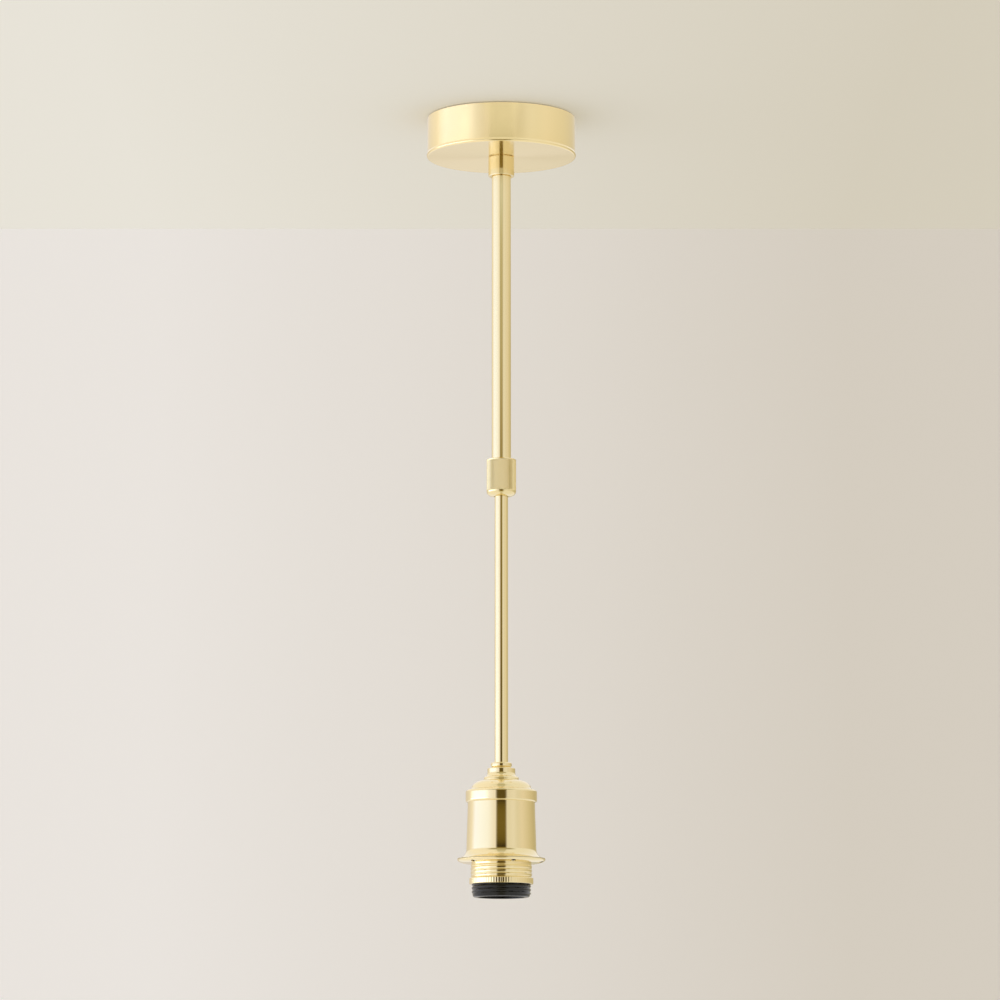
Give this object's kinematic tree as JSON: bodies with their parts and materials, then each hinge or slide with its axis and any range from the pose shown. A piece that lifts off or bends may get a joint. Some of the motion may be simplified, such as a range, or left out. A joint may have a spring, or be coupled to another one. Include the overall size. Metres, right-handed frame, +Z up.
{
  "type": "rise and fall pendant",
  "caption": "Brass ceiling pendant whose lampholder rod slides up into a fixed tube and is clamped by a reeded collar, hung from a round ceiling cup.",
  "frame": {"origin": "on the ceiling plane, midway between the two ceiling screw slots, which is the axis of the cup, tubes and lampholder", "axes": "+Z up into the ceiling along the tubes; X along the ceiling bracket; -Y faces the picture's viewer"},
  "size_m": [0.101, 0.101, 0.5263],
  "materials": {
    "brushed_brass": "circumferentially brushed, lacquered pale brass",
    "polished_brass": "polished and lacquered pale brass",
    "satin_brass": "satin drawn pale brass tube and turned collar",
    "raw_brass": "turned or stamped brass, as machined",
    "zinc_steel": "zinc plated steel",
    "nickel_shell": "nickel plated rolled brass sheet",
    "porcelain": "white glazed porcelain",
    "black_plastic": "semi-gloss black moulded thermoset",
    "white_plastic": "white moulded nylon",
    "flex_sheath": "black flexible sheath",
    "flex_core": "insulated single cores"
  },
  "bodies": {
    "root": {"ceiling_bracket": "zinc_steel", "canopy_cup": "brushed_brass", "threaded_nipple": "zinc_steel", "nipple_nut_top": "zinc_steel", "nipple_nut_bottom": "zinc_steel", "shakeproof_washer": "zinc_steel", "terminal_block": "white_plastic", "terminal_inserts": "raw_brass", "terminal_screws": "zinc_steel", "earth_screw": "raw_brass", "cord_grip": "black_plastic", "coupler_collar": "polished_brass", "upper_tube": "satin_brass", "collet_ferrule": "raw_brass", "flex_upper": "flex_sheath", "flex_coil": "flex_sheath"},
    "locking_collar": {"locking_collar": "satin_brass"},
    "guide_bush": {"guide_bush": "raw_brass"},
    "rod": {"rod_stop_ring": "raw_brass", "lower_tube": "satin_brass", "bead_nut": "polished_brass", "holder_cap": "polished_brass", "cap_lock_nut": "zinc_steel", "earth_tag": "raw_brass", "holder_body": "polished_brass", "vent_flange": "polished_brass", "threaded_skirt": "black_plastic", "contact_base": "porcelain", "screw_shell": "nickel_shell", "centre_contact": "raw_brass", "contact_rivet": "raw_brass", "holder_terminals": "raw_brass", "holder_terminal_screws": "zinc_steel", "flex_lower": "flex_sheath", "flex_cores": "flex_core"},
    "shade_ring": {"shade_ring": "polished_brass"}
  },
  "joints": [
    {"name": "collar_turn", "type": "hinge", "parent": "root", "child": "locking_collar", "pos_m": [0, 0, -0.246], "axis": [0, 0, -1], "range_deg": [0, 360]},
    {"name": "rod_slide", "type": "slide", "parent": "root", "child": "guide_bush", "axis": [0, 0, 1], "range_m": [0, 0.172], "deforming": ["flex_coil"]},
    {"name": "rod_turn", "type": "hinge", "parent": "guide_bush", "child": "rod", "pos_m": [0, 0, -0.236], "axis": [0, 0, 1], "range_deg": [-170, 170]},
    {"name": "shade_ring_travel", "type": "slide", "parent": "rod", "child": "shade_ring", "axis": [0, 0, -1], "range_m": [0, 0.008]}
  ]
}
